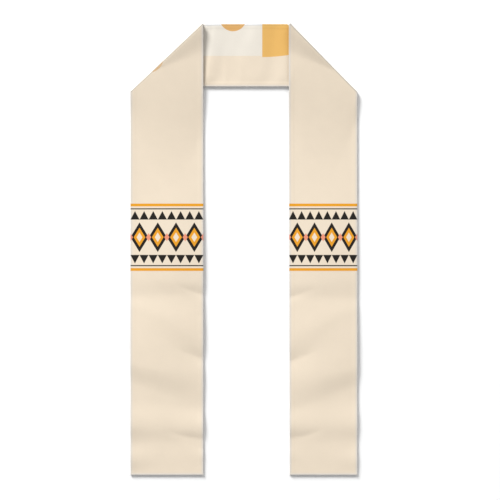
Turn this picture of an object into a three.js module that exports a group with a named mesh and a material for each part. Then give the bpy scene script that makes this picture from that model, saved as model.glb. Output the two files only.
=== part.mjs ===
// A satin stole lying flat: a neck strip, folded over at each shoulder into a long square-ended leg.
// Two cloths lie face to face all the way along it, so each is a whole folded band.
// Millimetres. +X is to the right, +Y towards the neck and +Z up from the surface it lies on.
import * as THREE from 'three';

const { clamp, lerp, smoothstep } = THREE.MathUtils;

// Outline as seen from above
const LENGTH = 818.4;
const WIDTH = 411.6;
const NECK_STRIP = 113.6;
const SIDES = {
  left: { sign: -1, legWidth: 132.4, hemTaper: 0, foldInset: 1.6, foldRise: 122.7 },
  right: { sign: 1, legWidth: 124.6, hemTaper: 1.8, foldInset: 2.7, foldRise: 123.4 },
};

// How each side lies. Levels are those of the middle of the cloths where a leg lies above the neck strip,
// at its inner edge, its middle and its outer edge. Puff is how much the fold's neck end stands up, and
// ridges is the scale of the leg's ridges.
const LIES = {
  left: { levels: [4.6, 6.2, 3.9], puff: 3.5, ridges: 1.25 },
  right: { levels: [5.0, 5.5, 3.9], puff: 6.3, ridges: 1.05 },
};

// Cloth
const CLOTH = 1.0;
const GAP = 0.3;

// Shoulder fold: how far its puff dies away inwards, and where along the fold it ends. Its section is a
// superellipse of this power, and this share of the puff widens it too.
const PUFF_REACH = 37;
const PUFF_ENDS = 0.65;
const FOLD_POWER = 6;
const PUFF_WIDENS = 0.12;

// Where a leg starts to come down off the neck strip and where it is down, measured down from the neck
// edge, at its inner edge, its middle and its outer edge
const RAMP_STARTS = [95, 25, 125];
const RAMP_ENDS = [200, 290, 175];

// Ridges across a leg, with valleys between them. Each is given at the inner edge and the outer edge:
// its top, measured down from the neck edge, and its reach towards the neck and towards the hem. Heights
// are at the inner edge, the middle and the outer edge, and lower is how much nearer the hem the ridge is
// on the right leg.
const LEG_RIDGES = [
  { name: 'lift', top: [440, 440], neck: [200, 200], hem: [360, 360], height: [0.9, 2.0, 0.5], lower: 0 },
  { name: 'long rise', top: [464, 458], neck: [190, 190], hem: [30, 40], height: [0.7, 0.8, 0.4], lower: 4 },
  { name: 'broad', top: [570, 516], neck: [84, 26], hem: [46, 110], height: [1.1, 1.3, 0.7], lower: 4 },
  { name: 'slanting', top: [644, 612], neck: [36, 120], hem: [56, 42], height: [0.6, 1.8, 1.8], lower: 8 },
  { name: 'pinched', top: [730, 727], neck: [36, 50], hem: [35, 35], height: [1.6, 0.9, 1.6], lower: -1 },
  { name: 'hem', top: [783, 790], neck: [22, 30], hem: [20, 26], height: [0.5, 0.1, 1.0], lower: 0 },
];

// Ridges down the neck strip: their X at the neck edge and at the lower edge, their two sides,
// and their height at those two edges
const NECK_RIDGES = [
  { name: 'long', x: [28, -17], leftSide: 24, rightSide: 40, height: [0.7, 0] },
  { name: 'left', x: [-50, -68], leftSide: 10, rightSide: 25, height: [0.3, 1.3] },
  { name: 'centre', x: [38, 25], leftSide: 50, rightSide: 22, height: [0.1, 0.85] },
  { name: 'right', x: [76, 74], leftSide: 24, rightSide: 12, height: [0.45, 1] },
];

// How closely the section lines follow each other
const LEG_STRETCHES = [
  { name: 'shoulder', endsAt: 130, sections: 8 },
  { name: 'chest', endsAt: 430, sections: 10 },
  { name: 'waves', endsAt: LENGTH, sections: 30 },
];
const NECK_SECTIONS = 34;
const TURN_SECTIONS = 8;
const COLUMNS = 6;
// The section lines lie along the fold at the shoulder and are square to the leg from here down
const SQUARE_FROM = 420;

// Worked out from the sizes above
const TOP = LENGTH / 2;
const HALF_STACK = CLOTH + GAP / 2;
const LOW_LEVEL = HALF_STACK;
// Half width of a fold at its tightest, to the middle of the cloths
const TIGHT_RADIUS = HALF_STACK + 2 * GAP;

// The fold's puff at a fraction t along it, from the neck end, as a fraction of its largest
const puffTaper = (t) => Math.max(0, 1 - t / PUFF_ENDS);

// A superellipse's sine or cosine: the same sign, and nearer 1 the higher the power
const squarer = (value) => Math.sign(value) * Math.abs(value) ** (2 / FOLD_POWER);

// A bump of height 1 at q = 0 that reaches 0 at q = -1 and 1
const bump = (q) => (Math.abs(q) < 1 ? Math.cos((Math.PI * q) / 2) ** 2 : 0);

// Height 1 at q = 0, where it falls at this slope, and level at 0 from q = 1 on
const FIRST_FALL = 0.8;
const falling = (q) => {
  const part = clamp(q, 0, 1);
  return (1 - part) ** 2 * (1 + (2 - FIRST_FALL) * part);
};

// The smooth curve through three values, at v = 0, 0.5 and 1
const throughThree = ([first, middle, last], v) =>
  first * (1 - v) * (1 - 2 * v) + middle * 4 * v * (1 - v) + last * v * (2 * v - 1);

// Places on a leg are (across, down): out from its inner edge, and down from the neck edge
function legPlace(side, across, down, z) {
  const x = side.sign * (WIDTH / 2 - side.legWidth + across);
  return new THREE.Vector3(x, TOP - down, z);
}

// The fold line of a shoulder. halfWidth is how far the middle of the two cloths comes out from the axis
// inside the fold at a fraction t along it. baseAt gives its place along the axis, from turned = 0 on the
// leg above to 1 on the neck strip below. Round the turn the cloth slides along the axis, so that its
// edges stay straight as seen from above.
function makeShoulder(side, lie) {
  const neckEnd = new THREE.Vector2(side.foldInset, 0);
  const outerEnd = new THREE.Vector2(side.legWidth, side.foldRise);
  const along = outerEnd.clone().sub(neckEnd).normalize();
  const outward = new THREE.Vector2(along.y, -along.x);
  const halfWidth = (t) => TIGHT_RADIUS + PUFF_WIDENS * lie.puff * puffTaper(t);
  const axisAt = (t) =>
    neckEnd.clone().lerp(outerEnd, t).addScaledVector(outward, -(halfWidth(t) + HALF_STACK));

  const legSlide = [-axisAt(0).x / along.x, (side.legWidth - axisAt(1).x) / along.x];
  const roundFold = (Math.PI * TIGHT_RADIUS * along.y) / along.x;
  const neckSlide = [-axisAt(0).y / along.y, legSlide[1] - roundFold];
  const baseAt = (t, turned) => {
    const slide = lerp(...(turned < 0.5 ? legSlide : neckSlide), t);
    return axisAt(t).addScaledVector(along, slide * (1 - turnOut(turned)));
  };
  return { side, lie, along, outward, halfWidth, baseAt };
}

// How far out a turn is, as a share of its half width
const turnOut = (turned) => squarer(Math.sin(Math.PI * turned));

// Height of the middle of the cloths on a leg, in column t. The puff's reach is never under a cloth's
// thickness, which keeps the outer end of the fold, where there is none, from dividing by nothing.
function legHeight({ side, lie, along, baseAt }, t, across, down) {
  const v = clamp(across / side.legWidth, 0, 1);
  const come = smoothstep(down, throughThree(RAMP_STARTS, v), throughThree(RAMP_ENDS, v));
  const ramp = lerp(throughThree(lie.levels, v), LOW_LEVEL, come);
  const fromFold = (down - baseAt(t, 0).y) * along.x;
  const puff = lie.puff * puffTaper(t) * falling(fromFold / (PUFF_REACH * puffTaper(t) + CLOTH));
  const ridges = LEG_RIDGES.reduce((sum, ridge) => {
    const past = down - lerp(...ridge.top, v) - (side === SIDES.right ? ridge.lower : 0);
    const reach = past < 0 ? ridge.neck : ridge.hem;
    return sum + throughThree(ridge.height, v) * bump(past / lerp(...reach, v));
  }, 0);
  return ramp + puff + lie.ridges * ridges;
}

// Height of the middle of the cloths on the neck strip
function neckHeight(x, y) {
  const down = clamp((TOP - y) / NECK_STRIP, 0, 1);
  return NECK_RIDGES.reduce((sum, ridge) => {
    const past = x - lerp(...ridge.x, down);
    const reach = past < 0 ? ridge.leftSide : ridge.rightSide;
    return sum + lerp(...ridge.height, down) * bump(past / reach);
  }, LOW_LEVEL);
}

const columnFractions = Array.from({ length: COLUMNS + 1 }, (_, j) => j / COLUMNS);

// Section lines of a leg, from its shoulder down to its hem
function legSections(shoulder) {
  const { side } = shoulder;
  const start = shoulder.baseAt(0, 0).y;
  const downs = [];
  let from = start;
  for (const { endsAt, sections } of LEG_STRETCHES) {
    for (let i = 1; i <= sections; i += 1) downs.push(lerp(from, endsAt, i / sections));
    from = endsAt;
  }
  return downs.map((innerDown) => {
    const slant = Math.max(0, 1 - (innerDown - start) / SQUARE_FROM) ** 2;
    const taper = side.hemTaper * (innerDown / LENGTH);
    const points = columnFractions.map((t) => {
      const base = shoulder.baseAt(t, 0);
      const across = base.x + taper * (1 - t);
      const down = innerDown + (base.y - start) * slant;
      return legPlace(side, across, down, legHeight(shoulder, t, across, down));
    });
    return { points };
  });
}

// Section lines round a shoulder fold, from the leg above it to the neck strip below it. Its height is
// the leg's above the neck strip's. Where the cloth is at a distance from the middle, that distance is
// added to the fold's half width and to half its height, so its direction isn't of length 1.
function turnSections(shoulder) {
  const { side, outward } = shoulder;
  return Array.from({ length: TURN_SECTIONS + 1 }, (_, i) => {
    const turned = i / TURN_SECTIONS;
    const out = turnOut(turned);
    const up = squarer(Math.cos(Math.PI * turned));
    const normal = new THREE.Vector3(side.sign * outward.x * out, -outward.y * out, up);
    const points = columnFractions.map((t) => {
      const top = shoulder.baseAt(t, 0);
      const halfHeight = (legHeight(shoulder, t, top.x, top.y) - LOW_LEVEL) / 2;
      const place = shoulder.baseAt(t, turned).addScaledVector(outward, shoulder.halfWidth(t) * out);
      return legPlace(side, place.x, place.y, LOW_LEVEL + halfHeight * (1 + up));
    });
    return { points, normal };
  });
}

// Section lines of the neck strip between its two folds, from left to right. Its lower edge drops
// a little under each leg, so that the strip runs square into its fold.
function neckSections(left, right) {
  const corner = ({ side, baseAt }, t) => {
    const base = baseAt(t, 1);
    return legPlace(side, base.x, base.y, LOW_LEVEL);
  };
  const upper = [corner(left, 0), corner(right, 0)];
  const lower = [corner(left, 1), corner(right, 1)];
  const lowerEdgeY = (x) => {
    const [side, end] = x < 0 ? [SIDES.left, lower[0]] : [SIDES.right, lower[1]];
    const legEdge = side.sign * (WIDTH / 2 - side.legWidth);
    const under = clamp((x - legEdge) / (end.x - legEdge), 0, 1);
    return lerp(TOP - NECK_STRIP, end.y, under);
  };
  return Array.from({ length: NECK_SECTIONS - 1 }, (_, i) => {
    const k = (i + 1) / NECK_SECTIONS;
    const top = upper[0].clone().lerp(upper[1], k);
    const low = lower[0].clone().lerp(lower[1], k);
    low.y = lowerEdgeY(low.x);
    const points = columnFractions.map((t) => {
      const point = top.clone().lerp(low, t);
      point.z = neckHeight(point.x, point.y);
      return point;
    });
    return { points };
  });
}

// The direction that the outside cloth faces at a place, where a section doesn't state it
function facing(sections, i, j) {
  if (sections[i].normal) return sections[i].normal;
  const before = sections[Math.max(i - 1, 0)].points[j];
  const after = sections[Math.min(i + 1, sections.length - 1)].points[j];
  const inner = sections[i].points[Math.max(j - 1, 0)];
  const outer = sections[i].points[Math.min(j + 1, COLUMNS)];
  return after.clone().sub(before).cross(outer.clone().sub(inner)).normalize();
}

// One cloth as a closed wall between two distances from the middle of the cloths, towards the outside
function clothWall(sections, normals, near, far) {
  const rows = sections.length;
  const width = COLUMNS + 1;
  const vertices = [far, near].flatMap((distance) =>
    sections.flatMap(({ points }, i) =>
      points.flatMap((point, j) => point.clone().addScaledVector(normals[i][j], distance).toArray())));
  const farAt = (i, j) => i * width + j;
  const nearAt = (i, j) => rows * width + farAt(i, j);

  const triangles = [];
  const quad = (a, b, c, d) => triangles.push(a, b, c, a, c, d);
  for (let i = 0; i + 1 < rows; i += 1) {
    for (let j = 0; j < COLUMNS; j += 1) {
      quad(farAt(i, j), farAt(i + 1, j), farAt(i + 1, j + 1), farAt(i, j + 1));
      quad(nearAt(i, j), nearAt(i, j + 1), nearAt(i + 1, j + 1), nearAt(i + 1, j));
    }
    quad(farAt(i, 0), nearAt(i, 0), nearAt(i + 1, 0), farAt(i + 1, 0));
    quad(farAt(i + 1, COLUMNS), nearAt(i + 1, COLUMNS), nearAt(i, COLUMNS), farAt(i, COLUMNS));
  }
  const last = rows - 1;
  for (let j = 0; j < COLUMNS; j += 1) {
    quad(farAt(0, j), farAt(0, j + 1), nearAt(0, j + 1), nearAt(0, j));
    quad(farAt(last, j + 1), farAt(last, j), nearAt(last, j), nearAt(last, j + 1));
  }

  const geometry = new THREE.BufferGeometry();
  geometry.setAttribute('position', new THREE.Float32BufferAttribute(vertices, 3));
  geometry.setIndex(triangles);
  geometry.computeVertexNormals();
  return geometry;
}

// The whole band, from the left leg's hem round the neck to the right leg's hem
function bandSections() {
  const left = makeShoulder(SIDES.left, LIES.left);
  const right = makeShoulder(SIDES.right, LIES.right);
  return [
    ...legSections(left).reverse(),
    ...turnSections(left),
    ...neckSections(left, right),
    ...turnSections(right).reverse(),
    ...legSections(right),
  ];
}

const CLOTHS = [
  { name: 'front_cloth', near: GAP / 2, far: HALF_STACK, color: '#efe0c9', roughness: 0.45 },
  { name: 'back_cloth', near: -HALF_STACK, far: -GAP / 2, color: '#ece0cf', roughness: 0.5 },
];

const sections = bandSections();
const normals = sections.map((_, i) => columnFractions.map((_t, j) => facing(sections, i, j)));

const stole = new THREE.Group();
stole.name = 'stole';
for (const { name, near, far, color, roughness } of CLOTHS) {
  const material = new THREE.MeshStandardMaterial({ color, roughness, metalness: 0 });
  const cloth = new THREE.Mesh(clothWall(sections, normals, near, far), material);
  cloth.name = name;
  stole.add(cloth);
}

// The origin is the middle of the stole's outline, on the surface that it lies on
const box = new THREE.Box3().setFromObject(stole);
const middle = box.getCenter(new THREE.Vector3());
stole.position.set(-middle.x, -middle.y, -box.min.z);
stole.updateMatrixWorld(true);

export default stole;
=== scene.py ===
"""Looks of a printed satin stole that lies flat, folded at both shoulders.

Metres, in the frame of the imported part.
"""
import math
from collections import namedtuple

import bpy
import numpy as np
from bpy.props import FloatProperty, FloatVectorProperty, PointerProperty
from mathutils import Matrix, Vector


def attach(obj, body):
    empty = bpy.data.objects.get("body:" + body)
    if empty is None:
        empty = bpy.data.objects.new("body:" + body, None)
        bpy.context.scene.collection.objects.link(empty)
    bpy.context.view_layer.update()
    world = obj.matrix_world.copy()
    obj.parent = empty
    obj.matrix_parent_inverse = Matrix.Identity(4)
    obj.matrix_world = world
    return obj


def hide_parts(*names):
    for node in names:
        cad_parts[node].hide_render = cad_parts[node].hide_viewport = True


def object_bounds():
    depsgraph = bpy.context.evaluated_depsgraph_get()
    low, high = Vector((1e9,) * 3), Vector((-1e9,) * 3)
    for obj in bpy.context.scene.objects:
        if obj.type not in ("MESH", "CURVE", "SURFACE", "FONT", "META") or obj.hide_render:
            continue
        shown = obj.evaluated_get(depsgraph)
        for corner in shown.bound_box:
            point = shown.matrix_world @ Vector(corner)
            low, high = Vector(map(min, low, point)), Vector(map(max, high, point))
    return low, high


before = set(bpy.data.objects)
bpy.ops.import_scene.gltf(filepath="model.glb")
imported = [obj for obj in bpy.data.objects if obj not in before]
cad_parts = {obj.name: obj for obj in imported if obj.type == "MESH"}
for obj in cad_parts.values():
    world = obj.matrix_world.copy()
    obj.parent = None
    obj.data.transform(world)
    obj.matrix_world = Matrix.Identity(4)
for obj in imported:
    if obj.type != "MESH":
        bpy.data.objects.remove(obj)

bl_info = {
    "name": "Printed satin stole",
    "version": (1, 0, 0),
    "blender": (4, 5, 0),
    "location": "3D View > Sidebar > Stole",
    "description": "Builds a folded satin stole, its two cloths, and the stage it lies on",
    "category": "Object",
}

MM = 0.001
CAD_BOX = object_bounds()
LOWEST, HIGHEST = (np.array(corner) for corner in CAD_BOX)
WIDTH, LENGTH = (HIGHEST - LOWEST)[:2]
CENTRE_X = (LOWEST[0] + HIGHEST[0]) / 2
TOP = HIGHEST[1]

# The band before it is folded, and the depth of the neck strip between the legs
BAND_WIDTH = 127 * MM
NECK_STRIP = 113.6 * MM

# Each leg's width, how much narrower it is at its hem, and how it meets its shoulder fold. Levels are
# those of the middle of the two cloths where the leg lies above the neck strip, in mm: at its inner edge,
# its middle and its outer edge. puff and ridges scale the puff of its fold and its ridges.
Side = namedtuple("Side", "sign leg_width hem_taper fold_inset fold_rise levels puff ridges")
LEFT = Side(-1, 132.4 * MM, 0.0, 1.6 * MM, 122.7 * MM, (4.6, 6.2, 3.9), 1.0, 1.25)
RIGHT = Side(1, 124.6 * MM, 1.8 * MM, 2.7 * MM, 123.4 * MM, (5.0, 5.5, 3.9), 1.8, 1.05)

# Level of the middle of the two cloths on the surface, half their height together, and how far that
# middle comes out from a fold's axis where the fold is tightest
LOW_LEVEL = 1.25 * MM
HALF_STACK = 1.15 * MM
TIGHT_RADIUS = 1.75 * MM

# Shoulder fold: how far its puff dies away inwards, and where along the fold it ends. Its section is a
# superellipse of this power, and this share of the puff widens it too.
PUFF_REACH = 37 * MM
PUFF_ENDS = 0.65
FOLD_POWER = 6.0
PUFF_WIDENS = 0.12
# How steeply the puff starts to fall away
FIRST_FALL = 0.8

# Where a leg starts to come down off the neck strip and where it is down, at its inner edge, its middle
# and its outer edge, and where its section lines are square to it
RAMP_STARTS = (95 * MM, 25 * MM, 125 * MM)
RAMP_ENDS = (200 * MM, 290 * MM, 175 * MM)
SQUARE_FROM = 420 * MM
# Where the dents would sink a leg into the surface, it levels off over this height
SOFT_FLOOR = 0.2 * MM

# Ridges across a leg, in mm. top, neck_side and hem_side are at the inner and the outer edge: where the
# ridge's top is, down from the neck edge, and how far it falls away each way. height is at the inner
# edge, the middle and the outer edge, and lower is how much nearer the hem it is on the right leg.
LegRidge = namedtuple("LegRidge", "name top neck_side hem_side height lower")
LEG_RIDGES = (
    LegRidge("lift", (440, 440), (200, 200), (360, 360), (0.9, 2.0, 0.5), 0),
    LegRidge("long rise", (464, 458), (190, 190), (30, 40), (0.7, 0.8, 0.4), 4),
    LegRidge("broad", (570, 516), (84, 26), (46, 110), (1.1, 1.3, 0.7), 4),
    LegRidge("slanting", (644, 612), (36, 120), (56, 42), (0.6, 1.8, 1.8), 8),
    LegRidge("pinched", (730, 727), (36, 50), (35, 35), (1.6, 0.9, 1.6), -1),
    LegRidge("hem", (783, 790), (22, 30), (20, 26), (0.5, 0.1, 1.0), 0),
)

# Dents that run in from a leg's inner edge, in mm: where they start on the left and the right leg, how
# much nearer the neck they end, and their length, depth and reach towards the neck and the hem
Dent = namedtuple("Dent", "name starts rise length depth neck_side hem_side")
DENTS = (
    Dent("upper crease", (492, 497), 20, 56, 0.60, 18, 18),
    Dent("small mark", (530, 532), 2, 16, 0.20, 6, 6),
    Dent("smaller mark", (564, 569), 3, 14, 0.20, 6, 6),
    Dent("middle crease", (608, 612), 20, 56, 0.60, 24, 24),
    Dent("lower crease", (761, 758), 24, 68, 1.05, 22, 22),
)
# How much narrower a dent is where it ends
DENT_NARROWS = 0.5

# Ridges down the neck strip, in mm: X at the neck edge and the lower edge, the reach to each side,
# the height at those edges, and how late it grows from the one to the other
NeckRidge = namedtuple("NeckRidge", "name x left_side right_side height grows")
NECK_RIDGES = (
    NeckRidge("long", (28, -17), 24, 40, (0.7, 0.0), 1),
    NeckRidge("left", (-50, -68), 10, 25, (0.3, 1.3), 1),
    NeckRidge("centre", (38, 25), 50, 22, (0.1, 0.85), 1),
    NeckRidge("right", (76, 74), 24, 12, (0.45, 1.0), 1),
    NeckRidge("pucker left", (-34, -33), 6, 7, (0.0, 0.6), 5),
    NeckRidge("pucker middle", (-4, -5), 6, 6, (0.0, 0.5), 5),
)
# Where they level off towards the lower edge, as shares of the way down to it, and how far the cloth
# stands up there, in mm
NECK_FLATTENS = (0.82, 1.0)
NECK_EDGE_RISE = 0.3

# How far in from an edge the turned-in seam ends, and how much of it rolls up
SEAM_ENDS = (7.6 * MM, 10 * MM)
ROLL_WIDTH = 2.8 * MM
# The two cloths' shown faces close in on each other at an edge to this many seam gaps from the middle
EDGE_GAPS = 1.5

# Grid of the cloth: its step, its lines round a fold, and its lines in from an edge, which is rounded
STEP = 3.0 * MM
TURN_SECTIONS = 24
EDGE_ROUND = 0.35 * MM
EDGE_STEPS = 6
NEAR_EDGE = np.array([1.8, 2.8, 4.2, 6.0, 7.6, 8.8, 10.0, 11.4]) * MM

# Where shade is painted on the satin as it turns over at a fold, from one share of the way out to another
FOLD_SHADE_SPAN = (0.15, 0.65)


class StoleSizes(bpy.types.PropertyGroup):
    """Sizes of the cloth that a user would change."""

    cloth: FloatProperty(
        name="Cloth",
        description="Thickness of one cloth with its interfacing",
        default=1.05 * MM,
        unit="LENGTH",
    )
    seam_gap: FloatProperty(
        name="Seam gap",
        description="Half of the groove between the two cloths",
        default=0.06 * MM,
        unit="LENGTH",
    )
    seam_allowance: FloatProperty(
        name="Seam allowance",
        description="How much the turned-in seam lifts the cloth along its edges",
        default=0.14 * MM,
        unit="LENGTH",
    )
    rolled_edge: FloatProperty(
        name="Rolled edge",
        description="How much the seam stands up at the very edge",
        default=0.17 * MM,
        unit="LENGTH",
    )
    puff: FloatProperty(
        name="Fold puff",
        description="How much the neck end of a shoulder fold stands up",
        default=3.5 * MM,
        unit="LENGTH",
    )
    rumple: FloatProperty(
        name="Rumple",
        description="Scale of the ridges across the legs and the neck strip",
        default=1.0,
    )


class StoleColours(bpy.types.PropertyGroup):
    """Colours of the satin and its print."""

    cream: FloatVectorProperty(
        name="Cream", description="Ground colour of the satin", subtype="COLOR",
        default=(0.740, 0.637, 0.506),
    )
    inner_cream: FloatVectorProperty(
        name="Inner cream", description="Ground colour of the inside cloth", subtype="COLOR",
        default=(0.718, 0.617, 0.490),
    )
    off_white: FloatVectorProperty(
        name="Off-white", description="Pale block on the neck strip", subtype="COLOR",
        default=(0.714, 0.668, 0.592),
    )
    amber: FloatVectorProperty(
        name="Amber", description="Block on the neck strip", subtype="COLOR",
        default=(0.698, 0.410, 0.120),
    )
    ochre: FloatVectorProperty(
        name="Ochre", description="Disc on the neck strip and at the fold", subtype="COLOR",
        default=(0.640, 0.362, 0.128),
    )
    deep_amber: FloatVectorProperty(
        name="Deep amber", description="Stripes of the leg border", subtype="COLOR",
        default=(0.72, 0.31, 0.022),
    )
    charcoal: FloatVectorProperty(
        name="Charcoal", description="Dark motifs of the leg border", subtype="COLOR",
        default=(0.016, 0.014, 0.012),
    )
    coral: FloatVectorProperty(
        name="Coral", description="Small motifs of the leg border", subtype="COLOR",
        default=(0.74, 0.27, 0.17),
    )


class StoleLight(bpy.types.PropertyGroup):
    """Light and camera of the stage."""

    key: FloatProperty(name="Key", description="Power of the key light", default=4165.0, unit="POWER")
    side: FloatProperty(name="Side", description="Power of the side light", default=545.0, unit="POWER")
    fill: FloatProperty(name="Fill", description="Strength of the even light all round", default=0.405)
    lens: FloatProperty(name="Lens", description="Focal length on a 36 mm sensor, in mm", default=85.0)


def bump(q):
    """Height 1 at q = 0, falling as cos^2(pi q / 2) to 0 at q = -1 and 1."""
    return np.where(np.abs(q) < 1, np.cos(np.pi * np.clip(q, -1, 1) / 2) ** 2, 0.0)


def falling(q):
    """Height (1 - q)^2 (1 + (2 - FIRST_FALL) q): 1 at q = 0, falling at FIRST_FALL, and level at q = 1."""
    q = np.clip(q, 0, 1)
    return (1 - q) ** 2 * (1 + (2 - FIRST_FALL) * q)


def smooth(x, low, high):
    """0 below low, 1 above high and 3s^2 - 2s^3 between, where s is the share of the way."""
    s = np.clip((x - low) / (high - low), 0, 1)
    return s * s * (3 - 2 * s)


def between(ends, t):
    """The straight line from ends[0] at t = 0 to ends[1] at t = 1."""
    return ends[0] + (ends[1] - ends[0]) * t


def through_three(values, v):
    """The parabola through three values, at v = 0, 0.5 and 1."""
    first, middle, last = values
    return first * (1 - v) * (1 - 2 * v) + middle * 4 * v * (1 - v) + last * v * (2 * v - 1)


def turn_out(turned):
    """How far out a turn is, as a share of its half width: sin(pi * turned)^(2 / FOLD_POWER)."""
    return np.clip(np.sin(np.pi * turned), 0, 1) ** (2 / FOLD_POWER)


class Shoulder:
    """The fold of one shoulder, in the leg's own (across, down).

    across is out from the leg's inner edge, and down is from the neck edge. A point t along the fold
    lies on an axis inside the fold's outline. There the middle of the two cloths comes out
    TIGHT_RADIUS + PUFF_WIDENS * puff * taper, where taper = 1 - t / PUFF_ENDS down to 0. Round the turn
    the cloth slides along the axis, so that its edges stay straight seen from above.
    """

    def __init__(self, side, puff):
        self.side = side
        self.puff = puff * side.puff
        self.neck_end = np.array([side.fold_inset, 0.0])
        self.outer_end = np.array([side.leg_width, side.fold_rise])
        length = np.linalg.norm(self.outer_end - self.neck_end)
        self.along = (self.outer_end - self.neck_end) / length
        self.outward = np.array([self.along[1], -self.along[0]])
        first, last = self.axis(0.0), self.axis(1.0)
        self.leg_slide = (-first[0] / self.along[0], (side.leg_width - last[0]) / self.along[0])
        round_fold = math.pi * TIGHT_RADIUS * self.along[1] / self.along[0]
        self.neck_slide = (-first[1] / self.along[1], self.leg_slide[1] - round_fold)

    def taper(self, t):
        """The puff at t as a share of its largest."""
        return 1 - np.clip(t / PUFF_ENDS, 0, 1)

    def half_width(self, t):
        """How far the turn comes out from its axis."""
        return TIGHT_RADIUS + PUFF_WIDENS * self.puff * self.taper(t)

    def axis(self, t):
        """The point of the axis at t."""
        t = np.asarray(t, float)[..., None]
        outline = self.neck_end + (self.outer_end - self.neck_end) * t
        return outline - self.outward * (self.half_width(t) + HALF_STACK)

    def base(self, t, turned):
        """Where the cloth is along the axis, from turned = 0 on the leg to 1 on the neck strip."""
        slide = between(self.leg_slide, t) if turned < 0.5 else between(self.neck_slide, t)
        return self.axis(t) + self.along * np.asarray(slide * (1 - turn_out(turned)))[..., None]


def leg_edge(side):
    """X of a leg's inner edge."""
    return CENTRE_X + side.sign * (WIDTH / 2 - side.leg_width)


def on_leg(side, across, down, z):
    """Points of the frame from a leg's own places."""
    x = leg_edge(side) + side.sign * across
    return np.stack(np.broadcast_arrays(x, TOP - down, z), axis=-1)


def leg_print_place(side, across, down):
    """Where the print is on a leg: the share of the way across, the distance down, and the leg's sign."""
    return np.stack(np.broadcast_arrays(across / side.leg_width, down, float(side.sign)), axis=-1)


def leg_height(shoulder, t, across, down, rumple):
    """Height of the middle of the cloths on a leg: ramp off the neck strip + puff of the fold + rise.

    The rise is (r + sqrt(r^2 + SOFT_FLOOR^2)) / 2, where r is ridges - dents, so it never goes below 0.
    """
    side = shoulder.side
    v = np.clip(across / side.leg_width, 0, 1)
    drop = through_three(side.levels, v) * MM - LOW_LEVEL
    come_down = smooth(down, through_three(RAMP_STARTS, v), through_three(RAMP_ENDS, v))
    ramp = LOW_LEVEL + drop * (1 - come_down)
    taper = shoulder.taper(t)
    from_fold = (down - shoulder.base(t, 0.0)[..., 1]) * shoulder.along[0]
    puff = shoulder.puff * taper * falling(from_fold / (PUFF_REACH * taper + MM))
    ridges = 0.0
    for ridge in LEG_RIDGES:
        past = down / MM - between(ridge.top, v) - (ridge.lower if side is RIGHT else 0)
        reach = np.where(past < 0, between(ridge.neck_side, v), between(ridge.hem_side, v))
        ridges = ridges + through_three(ridge.height, v) * bump(past / reach)
    rise = rumple * side.ridges * MM * (ridges - dents(side, across, down))
    return ramp + puff + (rise + np.sqrt(rise**2 + SOFT_FLOOR**2)) / 2


def dents(side, across, down):
    """Depth of the dents in mm: each is depth * s * (1 - |q|)^2.

    s is the share of the dent's length that is left, and q how far a point is from the dent's line, as a
    share of its reach there.
    """
    depth = 0.0
    for dent in DENTS:
        left = 1 - np.clip(across / MM / dent.length, 0, 1)
        past = down / MM - dent.starts[side is RIGHT] + dent.rise * (1 - left)
        reach = np.where(past < 0, dent.neck_side, dent.hem_side) * (1 - DENT_NARROWS * (1 - left))
        depth = depth + dent.depth * left * (1 - np.clip(np.abs(past / reach), 0, 1)) ** 2
    return depth


def neck_height(x, y, rumple):
    """Height of the middle of the cloths on the neck strip: the surface's level + ridges.

    Towards the lower edge the ridges level off to NECK_EDGE_RISE.
    """
    down = np.clip((TOP - y) / NECK_STRIP, 0, 1)
    ridges = 0.0
    for ridge in NECK_RIDGES:
        past = (x - CENTRE_X) / MM - between(ridge.x, down)
        reach = np.where(past < 0, ridge.left_side, ridge.right_side)
        ridges = ridges + between(ridge.height, down**ridge.grows) * bump(past / reach)
    flat = smooth(down, *NECK_FLATTENS)
    return LOW_LEVEL + rumple * MM * between((ridges, NECK_EDGE_RISE), flat)


def edge_distances():
    """Distances from an edge at which the grid has a line: close round the turned edge, then wider."""
    angles = np.linspace(0, np.pi / 2, EDGE_STEPS + 1)
    return np.concatenate([EDGE_ROUND * (1 - np.cos(angles)), NEAR_EDGE])


def graded(length, both_ends):
    """Places from 0 to length: close together at the end (or both ends), and STEP apart between."""
    near = edge_distances()
    first = near if both_ends else np.zeros(1)
    start, end = first[-1], length - near[-1]
    middle = np.linspace(start, end, max(2, round((end - start) / STEP)) + 1)
    return np.concatenate([first[:-1], middle, (length - near[:-1])[::-1]])


Part = namedtuple("Part", "points print_place hem_distance turned_over facing", defaults=[None])


def leg_part(shoulder, t, rumple):
    """Section lines of a leg, from its shoulder to its hem.

    They turn from along the fold to square as (1 - s)^2, where s is the share of the way to SQUARE_FROM.
    """
    side = shoulder.side
    base = shoulder.base(t, 0.0)
    start = base[0, 1]
    inner_down = (start + graded(LENGTH - start, both_ends=False)[1:])[:, None]
    slant = np.maximum(0.0, 1 - (inner_down - start) / SQUARE_FROM) ** 2
    across = base[:, 0] + side.hem_taper * (inner_down / LENGTH) * (1 - t)
    down = inner_down + (base[:, 1] - start) * slant
    points = on_leg(side, across, down, leg_height(shoulder, t, across, down, rumple))
    return Part(points, leg_print_place(side, across, down), LENGTH - down, np.zeros(down.shape))


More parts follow.
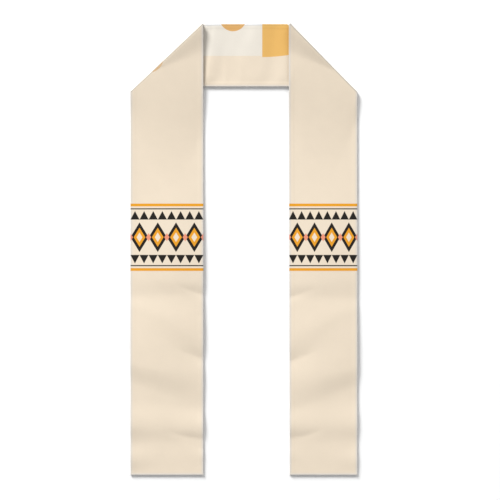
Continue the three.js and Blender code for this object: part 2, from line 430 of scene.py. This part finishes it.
def turn_part(shoulder, t, rumple):
    """Section lines round a fold, from the leg to the neck strip, with a from 0 to a half turn.

    They lie at base + half_width * outward * |sin a|^(2/n) + radius * up * |cos a|^(2/n), below the axis
    past a quarter turn, where n is FOLD_POWER and the radius is half the leg's height over the neck strip.
    A face at a distance d from the middle has d added to both of these sizes, so the faces' direction is
    outward * |sin a|^(2/n) + up * |cos a|^(2/n).
    """
    side = shoulder.side
    top = shoulder.base(t, 0.0)
    radius = (leg_height(shoulder, t, top[:, 0], top[:, 1], rumple) - LOW_LEVEL) / 2
    turned = np.linspace(0, 1, TURN_SECTIONS + 1)[:, None]
    base = np.stack([shoulder.base(t, share) for share in turned[:, 0]])
    out = turn_out(turned)
    up = np.sign(0.5 - turned) * np.abs(np.cos(np.pi * turned)) ** (2 / FOLD_POWER)
    across = base[..., 0] + shoulder.outward[0] * shoulder.half_width(t) * out
    down = base[..., 1] + shoulder.outward[1] * shoulder.half_width(t) * out
    points = on_leg(side, across, down, LOW_LEVEL + radius * (1 + up))
    facing = (side.sign * shoulder.outward[0] * out, -shoulder.outward[1] * out, up)
    facing = np.broadcast_to(np.stack(facing, axis=-1), points.shape)
    turned_over = np.broadcast_to(smooth(out, *FOLD_SHADE_SPAN), down.shape)
    place = leg_print_place(side, across, down)
    return Part(points, place, np.full(down.shape, LENGTH), turned_over, facing)


def neck_part(left, right, t, rumple):
    """Section lines of the neck strip, straight from its upper edge to its lower one.

    The lower edge is level between the legs, and drops evenly under each of them to the fold's end.
    """
    def corner(shoulder, at):
        across, down = shoulder.base(at, 1.0)
        return on_leg(shoulder.side, across, down, LOW_LEVEL)

    count = round(np.linalg.norm(corner(right, 1.0) - corner(left, 1.0)) / STEP)
    k = (np.arange(1, count) / count)[:, None]
    upper = between((corner(left, 0.0), corner(right, 0.0)), k)
    lower = between((corner(left, 1.0), corner(right, 1.0)), k)
    strip_low = TOP - NECK_STRIP
    low_y = np.full(len(k), strip_low)
    for shoulder in (left, right):
        end = corner(shoulder, 1.0)
        edge = leg_edge(shoulder.side)
        under = np.clip((lower[:, 0] - edge) / (end[0] - edge), 0, 1)
        low_y += (end[1] - strip_low) * under
    lower[:, 1] = low_y
    points = between((upper[:, None, :], lower[:, None, :]), t[None, :, None])
    x, y = points[..., 0], points[..., 1]
    points[..., 2] = neck_height(x, y, rumple)
    place = np.stack([x - CENTRE_X, TOP - y, np.zeros(x.shape)], axis=-1)
    return Part(points, place, np.full(x.shape, LENGTH), np.zeros(x.shape))


Band = namedtuple("Band", "points normals print_place weave edge raised turned_over")


def make_band(sizes):
    """The middle surface of the two cloths, from the left hem round the neck to the right hem.

    normals point to the outside of the stole: up on the legs, down on the neck strip. weave is (across,
    along) in metres of cloth. edge rises from 0 at an edge to 1 as sqrt(1 - (1 - d / EDGE_ROUND)^2), and
    the share of painted shade, where the cloth turns over, is 1 - edge, or more along a fold. raised is how
    much the seam adds to a cloth: its allowance near the edge, and rolled_edge * (1 - d / ROLL_WIDTH) where
    it rolls up.
    """
    t = graded(BAND_WIDTH, both_ends=True) / BAND_WIDTH
    left, right = Shoulder(LEFT, sizes.puff), Shoulder(RIGHT, sizes.puff)
    left_leg, right_leg = leg_part(left, t, sizes.rumple), leg_part(right, t, sizes.rumple)
    left_turn, right_turn = turn_part(left, t, sizes.rumple), turn_part(right, t, sizes.rumple)
    neck = neck_part(left, right, t, sizes.rumple)

    def joined(name):
        pieces = (
            getattr(left_leg, name)[::-1],
            getattr(left_turn, name),
            getattr(neck, name),
            getattr(right_turn, name)[::-1],
            getattr(right_leg, name),
        )
        return np.concatenate(pieces)

    points = joined("points")
    along_band = np.gradient(points, axis=0)
    across_band = np.gradient(points, axis=1)
    normals = np.cross(along_band, across_band)
    normals /= np.linalg.norm(normals, axis=-1, keepdims=True)
    left_start = len(left_leg.points)
    left_end = left_start + len(left_turn.points)
    right_start = left_end + len(neck.points)
    right_end = right_start + len(right_turn.points)
    normals[left_start:left_end] = left_turn.facing
    normals[right_start:right_end] = right_turn.facing[::-1]

    steps = np.linalg.norm(np.diff(points, axis=0), axis=-1)
    along = np.concatenate([np.zeros((1, len(t))), np.cumsum(steps, axis=0)])
    weave = np.stack(np.broadcast_arrays(t * BAND_WIDTH, along), axis=-1)

    def rounded(distance):
        return np.sqrt(1 - (1 - np.clip(distance / EDGE_ROUND, 0, 1)) ** 2)

    hem_distance = joined("hem_distance")
    edge_distance = np.minimum(t, 1 - t) * BAND_WIDTH
    edge = rounded(edge_distance) * rounded(hem_distance)
    toward_edge = 1 - np.clip(np.minimum(edge_distance, hem_distance) / ROLL_WIDTH, 0, 1)
    raised = sizes.seam_allowance * (1 - smooth(edge_distance, *SEAM_ENDS)) + sizes.rolled_edge * toward_edge
    turned_over = np.maximum(joined("turned_over"), 1 - edge)
    return Band(points, normals, joined("print_place"), weave, edge, raised, turned_over)


def cloth_faces(band, sizes):
    """Distances of a cloth's hidden and shown faces from the middle surface.

    The shown face goes from EDGE_GAPS gaps at an edge to the gap and the whole cloth, as band.edge rises.
    """
    near = np.full(band.edge.shape, sizes.seam_gap)
    at_edge = sizes.seam_gap * EDGE_GAPS
    return near, at_edge + (near + sizes.cloth + band.raised - at_edge) * band.edge


def wall_quads(rows, columns):
    """Quads of a closed wall whose vertices are a far grid and then a near grid.

    They join neighbours of each grid, and a strip of them round the rim joins the two grids.
    """
    count = rows * columns
    index = np.arange(count).reshape(rows, columns)
    corners = (index[:-1, :-1], index[1:, :-1], index[1:, 1:], index[:-1, 1:])
    far = np.stack(corners, axis=-1).reshape(-1, 4)
    near = far[:, ::-1] + count
    rim = np.concatenate([index[0, :-1], index[:-1, -1], index[-1, :0:-1], index[:0:-1, 0]])
    beside = np.roll(rim, -1)
    strip = np.stack([rim, beside, beside + count, rim + count], axis=-1)
    return np.concatenate([far, near, strip])


def closed_wall(name, band, near, far):
    """A closed mesh between two distances from the middle surface.

    Each vertex is point + distance * normal.
    """
    far_points = band.points + far[..., None] * band.normals
    near_points = band.points + near[..., None] * band.normals
    vertices = np.concatenate([far_points.reshape(-1, 3), near_points.reshape(-1, 3)])
    quads = wall_quads(*band.edge.shape)
    if far.mean() < 0:
        quads = quads[:, ::-1]

    mesh = bpy.data.meshes.new(name)
    mesh.vertices.add(len(vertices))
    mesh.vertices.foreach_set("co", vertices.astype(np.float32).ravel())
    mesh.loops.add(quads.size)
    mesh.loops.foreach_set("vertex_index", quads.astype(np.int32).ravel())
    mesh.polygons.add(len(quads))
    mesh.polygons.foreach_set("loop_start", np.arange(0, quads.size, 4, dtype=np.int32))
    mesh.polygons.foreach_set("use_smooth", np.ones(len(quads), dtype=bool))
    mesh.update(calc_edges=True)

    weave = np.tile(band.weave.reshape(-1, 2), (2, 1))
    uv = mesh.uv_layers.new(name="weave")
    uv.uv.foreach_set("vector", weave[quads.ravel()].astype(np.float32).ravel())
    place = np.tile(band.print_place.reshape(-1, 3), (2, 1))
    attribute = mesh.attributes.new("print_place", "FLOAT_VECTOR", "POINT")
    attribute.data.foreach_set("vector", place.astype(np.float32).ravel())
    turned_over = np.tile(band.turned_over.ravel(), 2)
    attribute = mesh.attributes.new("turned_over", "FLOAT", "POINT")
    attribute.data.foreach_set("value", turned_over.astype(np.float32))
    mesh.validate()
    piece = bpy.data.objects.new(name, mesh)
    bpy.context.scene.collection.objects.link(piece)
    return piece


class Field:
    """A number that varies over a surface. Used in an expression, it adds the Math nodes that work it out."""

    def __init__(self, graph, socket):
        self.graph = graph
        self.socket = socket

    def maths(self, operation, *numbers):
        return self.graph.node("ShaderNodeMath", {"operation": operation}, dict(enumerate(numbers)))

    def __add__(self, other):
        return self.maths("ADD", self, other)

    def __sub__(self, other):
        return self.maths("SUBTRACT", self, other)

    def __rsub__(self, other):
        return self.maths("SUBTRACT", other, self)

    def __mul__(self, other):
        return self.maths("MULTIPLY", self, other)

    def __truediv__(self, other):
        return self.maths("DIVIDE", self, other)

    __radd__ = __add__
    __rmul__ = __mul__

    def least(self, other):
        return self.maths("MINIMUM", self, other)

    def most(self, other):
        return self.maths("MAXIMUM", self, other)

    def size(self):
        return self.maths("ABSOLUTE", self)

    def part_of_one(self):
        return self.maths("FRACT", self)

    def root(self):
        return self.maths("SQRT", self)

    def soft_step(self, softness):
        """0 below -softness / 2, 1 above softness / 2, straight between."""
        return (self / softness + 0.5).least(1.0).most(0.0)


class Graph:
    """The nodes of one material."""

    def __init__(self, name):
        self.material = bpy.data.materials.new(name)
        self.material.use_nodes = True
        self.tree = self.material.node_tree
        self.shader = next(n for n in self.tree.nodes if n.type == "BSDF_PRINCIPLED")

    def plug(self, value, socket):
        if isinstance(value, Field):
            self.tree.links.new(value.socket, socket)
        else:
            socket.default_value = value

    def node(self, kind, settings=None, inputs=None, output=0):
        """Adds a node, sets its settings first, then its sockets, and returns one output."""
        made = self.tree.nodes.new(kind)
        for key, value in (settings or {}).items():
            setattr(made, key, value)
        for key, value in (inputs or {}).items():
            self.plug(value, made.inputs[key])
        return Field(self, made.outputs[output])

    def mix(self, share, under, over):
        """Colour under where share is 0 and over where it is 1. A Mix node has its colours at 6 and 7."""
        under, over = (c if isinstance(c, Field) else (*c, 1.0) for c in (under, over))
        inputs = {0: share, 6: under, 7: over}
        return self.node("ShaderNodeMix", {"data_type": "RGBA"}, inputs, output=2)

    def parts(self, vector):
        """The X, Y and Z of a vector."""
        split = self.node("ShaderNodeSeparateXYZ", None, {0: vector})
        return [Field(self, socket) for socket in split.socket.node.outputs]

    def print_place(self):
        """Where a point is on the print.

        On a leg: the share of the way across, the distance down from the neck edge, and -1 on the left
        leg or 1 on the right one. On the neck strip: X, the distance down, and 0.
        """
        place = self.node("ShaderNodeAttribute", {"attribute_name": "print_place"}, output="Vector")
        return self.parts(place)

    def noise(self, vector, scale, detail):
        inputs = {"Vector": vector, "Scale": scale, "Detail": detail}
        return self.node("ShaderNodeTexNoise", {"noise_dimensions": "3D"}, inputs)

    def times(self, vector, other):
        """A vector or colour multiplied by another, each part by its own."""
        return self.node("ShaderNodeVectorMath", {"operation": "MULTIPLY"}, {0: vector, 1: other})

    def finish(self, settings):
        for name, value in settings.items():
            self.plug(value, self.shader.inputs[name])
        return self.material


# Weave of the satin, as how fine it is across and along the band: long floats, ribs and slow tones
FLOATS = (2600.0, 260.0, 1.0)
RIBS = (180.0, 1400.0, 1.0)
TONES = 38.0
# How much the tones and the floats change the colour, and how much floats and ribs stand up
TONE_SHARE = 0.05
FLOAT_SHARE = 0.07
FLOAT_HEIGHT = 0.6
RIB_HEIGHT = 0.4
RELIEF = 0.12 * MM
# Painted shade: near a shoulder the colour is darker by this share, fading round a distance down, over
# another distance
SHOULDER_PAINTED_SHADE = 0.05
SHOULDER_SHADE_FADES = (200 * MM, 90 * MM)
# How far in from an edge the colour is tinted greyer, and the factors it is multiplied by at the edge
EDGE_TINT_REACH = 5 * MM
EDGE_TINT = (0.84, 0.93, 1.10)
# Painted shade where the satin turns over: its grey, and how much of it shows there
TURN_SHADE_GREY = (0.34, 0.32, 0.28)
TURN_SHADE_SHARE = 0.75
# Roughness between the floats, and what they add to it
ROUGHNESS = 0.64
FLOAT_ROUGHNESS = 0.12


def satin(name, ground):
    """Satin with its weave, slow tones, a greyer edge tint, painted shade at edges and folds, and a soft
    sheen. ground(graph) gives the print.

    Near a shoulder the colour is darkened with painted shade, which fades straight down to 0.
    """
    graph = Graph(name)
    weave = graph.node("ShaderNodeUVMap", {"uv_map": "weave"})
    _, down, leg = graph.print_place()
    colour = ground(graph)

    floats = graph.noise(graph.times(weave, FLOATS), 1.0, 3.0)
    ribs = graph.noise(graph.times(weave, RIBS), 1.0, 2.0)
    tone = graph.noise(weave, TONES, 3.0)
    # darker is painted shade near the shoulders, fading down the leg
    darker = (SHOULDER_SHADE_FADES[0] - down).soft_step(SHOULDER_SHADE_FADES[1]) * leg.size() * SHOULDER_PAINTED_SHADE
    shade = (tone - 0.5) * TONE_SHARE + (floats - 0.5) * FLOAT_SHARE + 1.0 - darker
    colour = graph.node("ShaderNodeVectorMath", {"operation": "SCALE"}, {0: colour, "Scale": shade})

    # A greyer tint just inside the edges
    across = graph.parts(weave)[0]
    from_edge = across.least(BAND_WIDTH - across).least(LENGTH - down)
    toward_edge = 1.0 - (from_edge / EDGE_TINT_REACH).least(1.0)
    colour = graph.times(colour, graph.mix(toward_edge, (1.0, 1.0, 1.0), EDGE_TINT))

    # Painted shade where the satin turns over: round the seams and along the shoulder folds
    turned_over = graph.node("ShaderNodeAttribute", {"attribute_name": "turned_over"}, output="Fac")
    colour = graph.mix(turned_over * TURN_SHADE_SHARE, colour, TURN_SHADE_GREY)

    height = floats * FLOAT_HEIGHT + ribs * RIB_HEIGHT
    normal = graph.node("ShaderNodeBump", None, {"Strength": 0.35, "Distance": RELIEF, "Height": height})
    return graph.finish({
        "Base Color": colour,
        "Roughness": ROUGHNESS + floats * FLOAT_ROUGHNESS,
        "Specular IOR Level": 0.10,
        "Sheen Weight": 0.03,
        "Sheen Roughness": 0.45,
        "Normal": normal,
    })


# How soft the edges of the print are
PRINT_EDGE = 0.5 * MM

# The printed border of a leg, down from the neck edge. In from each end of it come a stripe, a line and a
# row of teeth, from one distance to another, and diamonds reach out from its middle line.
BORDER = (326 * MM, 448 * MM)
STRIPE = (0.0, 5 * MM)
LINE = (8.5 * MM, 10.5 * MM)
TEETH = (13.5 * MM, 29 * MM)
DIAMOND_REACH = 27 * MM
TEETH_ACROSS = 8
DIAMONDS_ACROSS = 4
# Where the amber and the cream inside a diamond start, where the coral between the diamonds does, and how
# soft their edges are, all as shares of a diamond
AMBER_INSET = 0.36
CREAM_INSET = 0.68
CORAL_INSET = 0.72
INSET_EDGE = 0.02
# A disc of the inside cloth's print, whose rim comes over the left fold: its middle, across and down, its
# radius, and how strongly it shows
FOLD_DISC = (100.9 * MM, 59.5 * MM)
FOLD_DISC_RADIUS = 29.8 * MM
FOLD_DISC_SHARE = 0.7


def inside_disc(x, y, radius):
    """1 inside a disc and 0 outside it: the soft step of radius - sqrt(x^2 + y^2)."""
    return (radius - (x * x + y * y).root()).soft_step(PRINT_EDGE)


def border_colour(graph, colours):
    """The outside cloth: cream, with a woven-style border across each leg.

    With m the distance from the border's middle line and z = 1 - |2 fract(c) - 1|, where c is the place
    across in cells: stripes where m is in a range, triangles where m - low < height * z, and diamonds
    where z > inset + m / reach.
    """
    across, down, leg = graph.print_place()
    half = (BORDER[1] - BORDER[0]) / 2
    from_middle = (down - (BORDER[0] + BORDER[1]) / 2).size()

    def within(low, high):
        return (from_middle - low).soft_step(PRINT_EDGE) * (high - from_middle).soft_step(PRINT_EDGE)

    def zigzag(cells, shift=0.0):
        return 1.0 - ((across * cells + shift).part_of_one() * 2.0 - 1.0).size()

    def diamond(inset, shift=0.0, softness=INSET_EDGE):
        inside = zigzag(DIAMONDS_ACROSS, shift) - inset - from_middle / DIAMOND_REACH
        return inside.soft_step(softness)

    colour = graph.mix(within(half - STRIPE[1], half - STRIPE[0]), colours.cream, colours.deep_amber)
    colour = graph.mix(within(half - LINE[1], half - LINE[0]), colour, colours.charcoal)
    teeth_low = half - TEETH[1]
    teeth_high = teeth_low + (TEETH[1] - TEETH[0]) * zigzag(TEETH_ACROSS)
    colour = graph.mix(within(teeth_low, teeth_high), colour, colours.charcoal)
    whole = diamond(0.0, softness=PRINT_EDGE / DIAMOND_REACH)
    colour = graph.mix(whole, colour, colours.charcoal)
    colour = graph.mix(diamond(AMBER_INSET), colour, colours.deep_amber)
    colour = graph.mix(diamond(CREAM_INSET), colour, colours.cream)
    colour = graph.mix(diamond(CORAL_INSET, shift=0.5), colour, colours.coral)

    in_disc = inside_disc(across * LEFT.leg_width - FOLD_DISC[0], down - FOLD_DISC[1], FOLD_DISC_RADIUS)
    colour = graph.mix(in_disc * (leg * -FOLD_DISC_SHARE).most(0.0), colour, colours.ochre)
    return graph.mix(leg.size(), colours.cream, colour)


# The printed blocks of the neck strip: X from the middle, and down from the neck edge. The amber block is
# longer where it starts, and from there its end curves up by AMBER_CURVE * distance^2, in metres.
BLOCK_SEAM_X = 33.2 * MM
BLOCK_DEPTH = 57.8 * MM
AMBER_LONGER = 2.2 * MM
AMBER_CURVE = 1.6
DISC_X = -19.9 * MM
DISC_DOWN = -11.6 * MM
DISC_RADIUS = 24.7 * MM


def block_colour(graph, colours):
    """The inside cloth: cream, with an off-white block, an amber one and a disc at the neck edge."""
    x, down, leg = graph.print_place()
    right_of_seam = (x - BLOCK_SEAM_X).soft_step(PRINT_EDGE)
    past_seam = (x - BLOCK_SEAM_X).most(0.0)
    depth = BLOCK_DEPTH + AMBER_LONGER * right_of_seam - past_seam * past_seam * AMBER_CURVE
    in_block = (depth - down).soft_step(PRINT_EDGE)
    pale = graph.mix(in_block, colours.inner_cream, colours.off_white)
    pale = graph.mix(inside_disc(x - DISC_X, down - DISC_DOWN, DISC_RADIUS), pale, colours.ochre)
    strong = graph.mix(in_block, colours.inner_cream, colours.amber)
    colour = graph.mix(right_of_seam, pale, strong)
    return graph.mix(leg.size(), colour, colours.inner_cream)


def dress(piece, node, material):
    """Gives a cloth its material, hangs it under the root body and hides the CAD part of its node."""
    piece.data.materials.append(material)
    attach(piece, "root")
    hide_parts(node)


def make_cloth(scene, node, slot, facing, ground):
    """Makes one cloth. facing is 1 on the outside of the stole and -1 on its inside."""
    band = make_band(scene.stole_sizes)
    near, far = cloth_faces(band, scene.stole_sizes)
    piece = closed_wall("stole_" + node, band, facing * near, facing * far)
    material = satin(slot.replace("_", " "), lambda graph: ground(graph, scene.stole_colours))
    dress(piece, node, material)


class STOLE_OT_front_cloth(bpy.types.Operator):
    """Makes the outside cloth, which shows on both legs."""

    bl_idname = "stole.front_cloth"
    bl_label = "Front cloth"

    def execute(self, context):
        make_cloth(context.scene, "front_cloth", "outside_satin", 1, border_colour)
        return {"FINISHED"}


class STOLE_OT_back_cloth(bpy.types.Operator):
    """Makes the inside cloth, which shows on the neck strip."""

    bl_idname = "stole.back_cloth"
    bl_label = "Back cloth"

    def execute(self, context):
        make_cloth(context.scene, "back_cloth", "inside_satin", -1, block_colour)
        return {"FINISHED"}


class STOLE_OT_stage(bpy.types.Operator):
    """Makes the floor with its raised rim, the lights and the camera."""

    bl_idname = "stole.stage"
    bl_label = "Stage"

    def execute(self, context):
        make_floor()
        make_lights(context.scene)
        make_camera(context.scene)
        return {"FINISHED"}


# The floor: the radii of its inner rings, where its rim starts, the rim's bend and height, and how many
# sides the floor and steps the bend have
FLOOR_RINGS = (0.02, 0.5, 1.5)
FLOOR_RADIUS = 3.6
RIM_RADIUS = 0.5
RIM_HEIGHT = 0.6
FLOOR_SPOKES = 96
RIM_STEPS = 12
FLOOR_WHITE = (0.93, 0.93, 0.93, 1.0)


def make_floor():
    """A disc that curves up at its rim: radius r and height z go round a quarter circle, then straight up."""
    angle = np.linspace(0, 2 * np.pi, FLOOR_SPOKES, endpoint=False)
    bend = np.linspace(0, np.pi / 2, RIM_STEPS + 1)
    rim = FLOOR_RADIUS + RIM_RADIUS * np.sin(bend)
    radius = np.concatenate([FLOOR_RINGS, rim, rim[-1:]])
    height = np.concatenate([np.zeros(len(FLOOR_RINGS)), RIM_RADIUS * (1 - np.cos(bend)), [RIM_HEIGHT]])
    x = radius[:, None] * np.cos(angle)
    y = radius[:, None] * np.sin(angle)
    z = np.broadcast_to(height[:, None], x.shape)
    vertices = np.stack([x, y, z], axis=-1).reshape(-1, 3)
    index = np.arange(len(vertices)).reshape(x.shape)
    turned = np.roll(index, -1, axis=1)
    quads = np.stack([index[:-1], index[1:], turned[1:], turned[:-1]], axis=-1).reshape(-1, 4)
    mesh = bpy.data.meshes.new("floor")
    mesh.from_pydata(vertices.tolist(), [], [*quads.tolist(), index[0].tolist()])
    mesh.polygons.foreach_set("use_smooth", np.ones(len(mesh.polygons), dtype=bool))
    paint = {"Base Color": FLOOR_WHITE, "Roughness": 0.9, "Specular IOR Level": 0.1}
    mesh.materials.append(Graph("floor").finish(paint))
    floor = bpy.data.objects.new("floor", mesh)
    bpy.context.scene.collection.objects.link(floor)


# Softboxes: how far from the stole they stand and how wide they are, then each one's direction and
# elevation in degrees. The powers of the same names are in StoleLight.
SOFTBOX_DISTANCE = 14.0
SOFTBOX_WIDTH = 5.6
Softbox = namedtuple("Softbox", "name turn height")
SOFTBOXES = (
    Softbox("key", 121, 18),
    Softbox("side", 60, 25),
)


def make_lights(scene):
    """A low softbox at the upper left of the view, a weaker one at the upper right, and even light."""
    for box in SOFTBOXES:
        data = bpy.data.lights.new(box.name, "AREA")
        data.shape = "DISK"
        data.size = SOFTBOX_WIDTH
        data.energy = getattr(scene.stole_light, box.name)
        lamp = bpy.data.objects.new(box.name, data)
        turn, height = math.radians(box.turn), math.radians(box.height)
        lamp.rotation_euler = (math.pi / 2 - height, 0.0, turn + math.pi / 2)
        along = SOFTBOX_DISTANCE * math.cos(height)
        lamp.location = (along * math.cos(turn), along * math.sin(turn), SOFTBOX_DISTANCE * math.sin(height))
        scene.collection.objects.link(lamp)
    world = bpy.data.worlds.new("even light")
    world.use_nodes = True
    sky = world.node_tree.nodes["Background"]
    sky.inputs["Color"].default_value = (1.0, 1.0, 1.0, 1.0)
    sky.inputs["Strength"].default_value = scene.stole_light.fill
    scene.world = world


# How wide the view is on the floor, and where its middle is
VIEW_SIDE = 908.5 * MM
AIM = (11.0 * MM, -0.9 * MM)


def make_camera(scene):
    """Straight above the stole, at the distance from which the view is VIEW_SIDE wide."""
    data = bpy.data.cameras.new("camera")
    data.lens = scene.stole_light.lens
    camera = bpy.data.objects.new("camera", data)
    camera.location = (*AIM, VIEW_SIDE * data.lens / data.sensor_width)
    scene.collection.objects.link(camera)
    scene.camera = camera
    scene.view_settings.view_transform = "Standard"


OPERATORS = (STOLE_OT_front_cloth, STOLE_OT_back_cloth, STOLE_OT_stage)
GROUPS = {"stole_sizes": StoleSizes, "stole_colours": StoleColours, "stole_light": StoleLight}


class STOLE_PT_panel(bpy.types.Panel):
    """Lists the stole's pieces, sizes and colours."""

    bl_idname = "STOLE_PT_panel"
    bl_label = "Stole"
    bl_space_type = "VIEW_3D"
    bl_region_type = "UI"
    bl_category = "Stole"

    def draw(self, context):
        for group in (getattr(context.scene, name) for name in GROUPS):
            column = self.layout.column()
            for name in group.bl_rna.properties.keys():
                if name not in {"rna_type", "name"}:
                    column.prop(group, name)
        for operator in OPERATORS:
            self.layout.operator(operator.bl_idname)


CLASSES = (*GROUPS.values(), *OPERATORS, STOLE_PT_panel)


def register():
    for made in CLASSES:
        bpy.utils.register_class(made)
    for name, group in GROUPS.items():
        setattr(bpy.types.Scene, name, PointerProperty(type=group))


def unregister():
    for name in GROUPS:
        delattr(bpy.types.Scene, name)
    for made in reversed(CLASSES):
        bpy.utils.unregister_class(made)


def main():
    register()
    bpy.ops.stole.front_cloth()
    bpy.ops.stole.back_cloth()
    bpy.ops.stole.stage()


if __name__ == "__main__":
    main()
